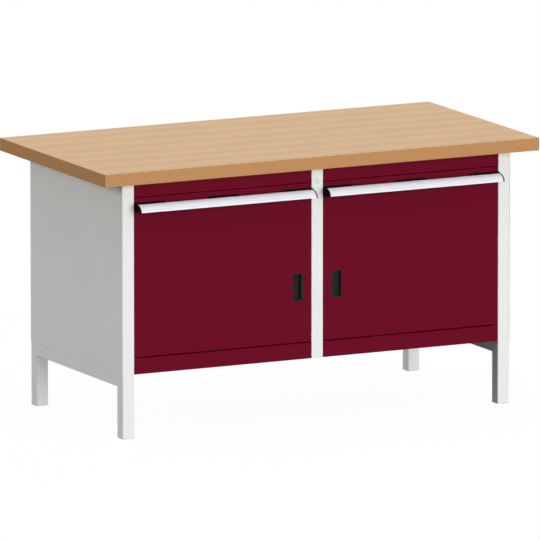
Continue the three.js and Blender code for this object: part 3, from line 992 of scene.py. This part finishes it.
@dataclass
class GripBar:
    """Aluminium grip rail across a drawer front, with black end caps and a clip between them."""

    wall_mm: float = 2.5
    web_mm: float = 9.0
    edge_mm: float = 0.4
    lip_mm: float = 4.0
    groove_mm: float = 1.1
    seat_mm: float = 0.3
    cap_rim_mm: float = 1.0
    cap_ease_mm: float = 0.7
    clip_height_mm: float = 14.5
    clip_ease_mm: float = 1.5
    steps: int = 96

    def quarter(self, kind: str, x: float, lip: Vector, crown: Vector) -> Shaper:
        """Models the curve from the lip up to the crown, as edges.

        Args:
            kind: What the piece is.
            x: Where the curve stands.
            lip: Its lower end.
            crown: Its upper end.

        Returns:
            The shaper of the curve.
        """
        centre = Vector((x, crown.y, lip.z))
        curve = Shaper.ring(kind, centre, crown.y - lip.y, crown.z - lip.z, self.steps)
        return curve.delete(Pick.VERT, lambda vert: vert.co.y > crown.y + NEAR or vert.co.z < lip.z - NEAR)

    def groove(self, low: Vector, high: Vector) -> Shaper:
        """Models the rod that cuts the fine groove above the rail's lip.

        Args:
            low: Lowest corner of the rail.
            high: Highest corner of the rail.

        Returns:
            The shaper of the rod.
        """
        rise = self.lip_mm * MM
        reach = (high.y - low.y) * math.sqrt(1.0 - (rise / (high.z - low.z)) ** 2)
        centre = Vector(((low.x + high.x) / 2, high.y - reach, low.z + rise))
        return Shaper.drum("groove", Axis.X, centre, self.groove_mm * MM, high.x - low.x + self.lip_mm * MM)

    def rail(self) -> None:
        """Models the rail: the curve with a groove above its lip, and a web down from its crown."""
        low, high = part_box("grip_bar_left")
        curve = self.quarter("rail", low.x, low, high)
        crown = both(at(Axis.Y, high.y), at(Axis.Z, high.z))
        curve.extrude(Pick.VERT, crown, (0.0, 0.0, -self.web_mm))
        curve.extrude(Pick.EDGE, everything, ((high.x - low.x) / MM, 0.0, 0.0))
        curve.wall(self.wall_mm)
        curve.soften(self.edge_mm)
        curve.combine(self.groove(low, high), Joining.CUT)
        curve.place(ALUMINIUM, *in_bays("grip_bar_{}", "{}_drawer"))

    def tongue(self, low: Vector, high: Vector) -> Shaper:
        """Models a clip between two corners, which fills the gap from drawer front to rail web."""
        clip = Shaper.block("clip", low, high)
        return clip.bevel(both(runs(Axis.X), at(Axis.Y, low.y)), self.clip_ease_mm)

    def cap(self) -> None:
        """Models an end cap: a plate that follows the rail's curve, and a clip behind the rail."""
        low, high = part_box("grip_end_cap_left_left")
        bar_low, bar_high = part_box("grip_bar_left")
        plate = bar_low.x - self.seat_mm * MM - low.x
        rim = self.cap_rim_mm * MM
        crown = bar_high + Vector((0.0, 0.0, rim))
        lip = bar_low - Vector((0.0, rim, 0.0))
        cap = self.quarter("moulding", low.x, lip, crown)
        walk = [
            (0.0, 0.0, low.z - lip.z), (0.0, high.y - lip.y, 0.0), (0.0, 0.0, high.z - low.z),
            (0.0, crown.y - high.y, 0.0), (0.0, 0.0, crown.z - high.z),
        ]
        moves = [tuple(step / MM for step in move) for move in walk]
        cap.extrude(Pick.VERT, both(at(Axis.Y, lip.y), at(Axis.Z, lip.z)), *moves)
        cap.fill()
        cap.extrude(Pick.FACE, everything, (plate / MM, 0.0, 0.0))
        cap.face_out()
        cap.bevel(either(at(Axis.X, low.x), at(Axis.X, low.x + plate)), self.cap_ease_mm, segments=2)
        foot = Vector((low.x, bar_high.y + self.seat_mm * MM, high.z - self.clip_height_mm * MM))
        cap.combine(self.tongue(foot, high), Joining.ADD)
        cap.place(BLACK_ABS, *[
            Stand(f"grip_end_cap_{side.value}_{end.value}", f"{side.value}_drawer", end is Side.RIGHT)
            for side in Side for end in Side])

    def build(self) -> None:
        """Models the left bay's rail, cap and clip, and copies them to all their places."""
        self.rail()
        self.cap()
        self.tongue(*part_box("grip_clip_left")).place(BLACK_ABS, *in_bays("grip_clip_{}", "{}_drawer"))


@dataclass
class DoorPull:
    """Moulded pull let into a door: a flat rim, a cup behind it, and a lip to hook the fingers under."""

    flange_mm: float = 1.2
    rim_mm: float = 2.0
    wall_mm: float = 1.5
    lip_mm: float = 5.0
    corner_mm: float = 4.0
    pocket_corner_mm: float = 3.0
    floor_ease_mm: float = 8.0
    mouth_ease_mm: float = 2.2
    edge_mm: float = 0.4

    def rounded(self, kind: str, low: Vector, high: Vector, corner_mm: float) -> Shaper:
        """Models a block whose corners are rounded as seen from the front."""
        return Shaper.block(kind, low, high).bevel(runs(Axis.Y), corner_mm, segments=6)

    def build(self) -> None:
        """Models the left pull and mirrors it to the right door."""
        low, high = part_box("door_pull_left")
        door_face = low.y + self.flange_mm * MM
        pull = self.rounded("moulding", low, Vector((high.x, door_face, high.z)), self.corner_mm)
        pull.bevel(at(Axis.Y, low.y), self.edge_mm, segments=3)
        rim = MM_XZ * self.rim_mm
        cup_low = Vector((low.x, low.y + self.edge_mm * MM, low.z)) + rim
        pull.combine(self.rounded("cup", cup_low, high - rim, self.pocket_corner_mm), Joining.ADD)
        wall = MM_XZ * (self.rim_mm + self.wall_mm)
        deep = Vector((0.0, self.wall_mm * MM, 0.0))
        pocket_low = Vector((low.x, door_face, low.z)) + wall + deep
        pocket_high = high - wall - deep
        pocket = self.rounded("pocket", pocket_low, pocket_high, self.pocket_corner_mm)
        pocket.bevel(at(Axis.Y, pocket_high.y), self.floor_ease_mm, segments=6)
        pull.combine(pocket, Joining.CUT)
        mouth_low = Vector((pocket_low.x, low.y - deep.y, pocket_low.z))
        mouth_high = Vector((pocket_high.x - self.lip_mm * MM, pocket_low.y + deep.y, pocket_high.z))
        pull.combine(self.rounded("mouth", mouth_low, mouth_high, self.pocket_corner_mm), Joining.CUT)
        mouth_edge = both(at(Axis.Y, low.y), inside(mouth_low, mouth_high))
        pull.bevel(mouth_edge, self.mouth_ease_mm, segments=5)
        pull.place(PULL_ABS, *in_bays("door_pull_{}", "{}_door", mirrored=True))


@dataclass
class Interior:
    """Sheet metal and runners inside both bays."""

    nodes: Mapping[str, bpy.types.Object]
    fold_mm: float = 2.2
    sheet_mm: float = 1.0

    def tray(self, node: str, open_z: float) -> Shaper:
        """Models a folded pan that is open at one level.

        Args:
            node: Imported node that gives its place.
            open_z: Height of its open side.

        Returns:
            The shaper of the pan.
        """
        low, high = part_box(node)
        closed = at(Axis.Z, low.z + high.z - open_z)
        pan = Shaper.block("pan", low, high)
        pan.delete(Pick.FACE, at(Axis.Z, open_z))
        pan.bevel(either(closed, runs(Axis.Z)), self.fold_mm)
        return pan.wall(self.sheet_mm)

    def build(self) -> None:
        """Models floor, shelf and drawer tray, and dresses walls, runners and pivots."""
        for name in ("cabinet_floor", "shelf"):
            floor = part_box(f"{name}_left")[0].z
            self.tray(f"{name}_left", floor).place(GREY_COAT, *in_bays(name + "_{}"))
        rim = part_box("drawer_tray_left")[1].z
        self.tray("drawer_tray_left", rim).place(GREY_COAT, *in_bays("drawer_tray_{}", "{}_drawer"))
        dress(self.nodes, GREY_COAT, "back_panel")
        for side in Side:
            word = side.value
            dress(self.nodes, GREY_COAT, f"outer_wall_{word}", f"inner_wall_{word}")
            for place in ("outer", "inner"):
                dress(self.nodes, ZINC, f"cabinet_runner_{word}_{place}", f"drawer_runner_{word}_{place}")
            dress(self.nodes, BURGUNDY_COAT, f"door_pivot_{word}_upper", f"door_pivot_{word}_lower")


@dataclass(frozen=True)
class Lamp:
    """A wide soft lamp far away, by its place round the bench in degrees."""

    name: str
    azimuth: float
    elevation: float
    strength: float
    angle: float


@dataclass
class Studio:
    """Camera of the photograph, soft lamps, white surroundings and a pale floor."""

    azimuth: float = -26.621
    elevation: float = 10.337
    distance: float = 44.329
    target: Triple = (0.0, 0.0, 0.42)
    aside: float = 0.0016
    above: float = 0.00219
    lens: float = 949.6
    sensor: float = 36.0
    far: float = 200.0
    ambient: float = 0.34
    floor_size: float = 30.0
    floor_bounce: str = "505050"
    shadow_share: float = 0.03
    lamp_distance: float = 5.0
    lamps: tuple[Lamp, ...] = (
        Lamp("front_lamp", azimuth=14.0, elevation=5.0, strength=2.42, angle=46.0),
        Lamp("top_lamp", azimuth=0.0, elevation=84.0, strength=1.03, angle=50.0),
        Lamp("left_lamp", azimuth=-120.0, elevation=16.0, strength=1.0, angle=20.0),
        Lamp("right_lamp", azimuth=120.0, elevation=25.0, strength=0.6, angle=40.0),
    )

    @staticmethod
    def towards(azimuth: float, elevation: float) -> Vector:
        """Unit vector to a place so many degrees to the right of the front and above the floor."""
        turn, rise = math.radians(azimuth), math.radians(elevation)
        return Vector((math.sin(turn) * math.cos(rise), -math.cos(turn) * math.cos(rise), math.sin(rise)))

    def camera(self) -> None:
        """Adds the camera at the photograph's viewing angle."""
        out = self.towards(self.azimuth, self.elevation)
        turn = (-out).to_track_quat("-Z", "Y")
        right = turn @ Vector((1.0, 0.0, 0.0))
        up = turn @ Vector((0.0, 1.0, 0.0))
        place = Vector(self.target) + out * self.distance + right * self.aside + up * self.above
        bpy.ops.object.camera_add(location=place, rotation=turn.to_euler())
        camera = bpy.context.active_object
        camera.data.lens = self.lens
        camera.data.sensor_width = self.sensor
        camera.data.clip_end = self.far
        bpy.context.scene.camera = camera

    def lights(self) -> None:
        """Adds the lamps."""
        for lamp in self.lamps:
            out = self.towards(lamp.azimuth, lamp.elevation)
            turn = (-out).to_track_quat("-Z", "Y").to_euler()
            bpy.ops.object.light_add(type="SUN", location=out * self.lamp_distance, rotation=turn)
            light = bpy.context.active_object
            light.name = lamp.name
            light.data.energy = lamp.strength
            light.data.angle = math.radians(lamp.angle)

    @staticmethod
    def seen(tree: Tree) -> Socket:
        """Tells what is looked at from what gives light.

        Args:
            tree: Node tree of the world or the floor.

        Returns:
            A factor that is 1 where the camera, a reflection or a clear material looks.
        """
        path = add_node(tree, "LightPath").outputs
        mirrored = add_node(
            tree, "Math", {0: path["Is Camera Ray"], 1: path["Is Glossy Ray"]}, operation="MAXIMUM")
        through = add_node(
            tree, "Math", {0: mirrored.outputs[0], 1: path["Is Transmission Ray"]}, operation="MAXIMUM")
        return through.outputs[0]

    def surroundings(self) -> None:
        """Makes the world white to the eye and dimmer as a light."""
        world = bpy.data.worlds.new("white_studio")
        world.use_nodes = True
        tree = world.node_tree
        tree.nodes.clear()
        light = add_node(tree, "Background", {"Color": linear("ffffff"), "Strength": self.ambient})
        white = add_node(tree, "Background", {"Color": linear("ffffff"), "Strength": 1.0})
        mixed = add_node(tree, "MixShader", {0: self.seen(tree), 1: light.outputs[0], 2: white.outputs[0]})
        add_node(tree, "OutputWorld", {"Surface": mixed.outputs[0]})
        bpy.context.scene.world = world

    def floor(self) -> None:
        """Adds the floor: white to the eye with a faint shadow, grey as a reflector, clear to low light."""
        bpy.ops.object.select_all(action="DESELECT")
        bpy.ops.mesh.primitive_plane_add(size=self.floor_size)
        plane = bpy.context.active_object
        plane.name = "studio_floor"
        paper = bpy.data.materials.new("pale_studio_floor")
        paper.use_nodes = True
        tree = paper.node_tree
        tree.nodes.clear()
        white = add_node(tree, "Emission", {"Color": linear("ffffff"), "Strength": 1.0})
        lit = add_node(tree, "BsdfDiffuse", {"Color": linear("ffffff")})
        dull = add_node(tree, "BsdfDiffuse", {"Color": linear(self.floor_bounce)})
        shown = add_node(tree, "MixShader", {0: self.shadow_share, 1: white.outputs[0], 2: lit.outputs[0]})
        mixed = add_node(tree, "MixShader", {0: self.seen(tree), 1: dull.outputs[0], 2: shown.outputs[0]})
        add_node(tree, "OutputMaterial", {"Surface": mixed.outputs[0]})
        plane.data.materials.append(paper)
        plane.visible_shadow = False

    def build(self) -> None:
        """Sets up camera, lamps, surroundings and floor."""
        bpy.context.scene.view_settings.view_transform = "Standard"
        self.camera()
        self.lights()
        self.surroundings()
        self.floor()


def main() -> None:
    """Builds the studio and the bench's sub-assemblies in order."""
    logging.basicConfig(level=logging.INFO, format="%(name)s: %(message)s")
    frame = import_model()
    tubes = TubeFrame()
    parts = [
        Studio(), Worktop(), tubes, CentreLock(tubes), Fronts(), GripBar(), DoorPull(),
        Interior(frame["nodes"])]
    for part in parts:
        LOG.info("building %s", type(part).__name__)
        part.build()


if __name__ == "__main__":
    main()
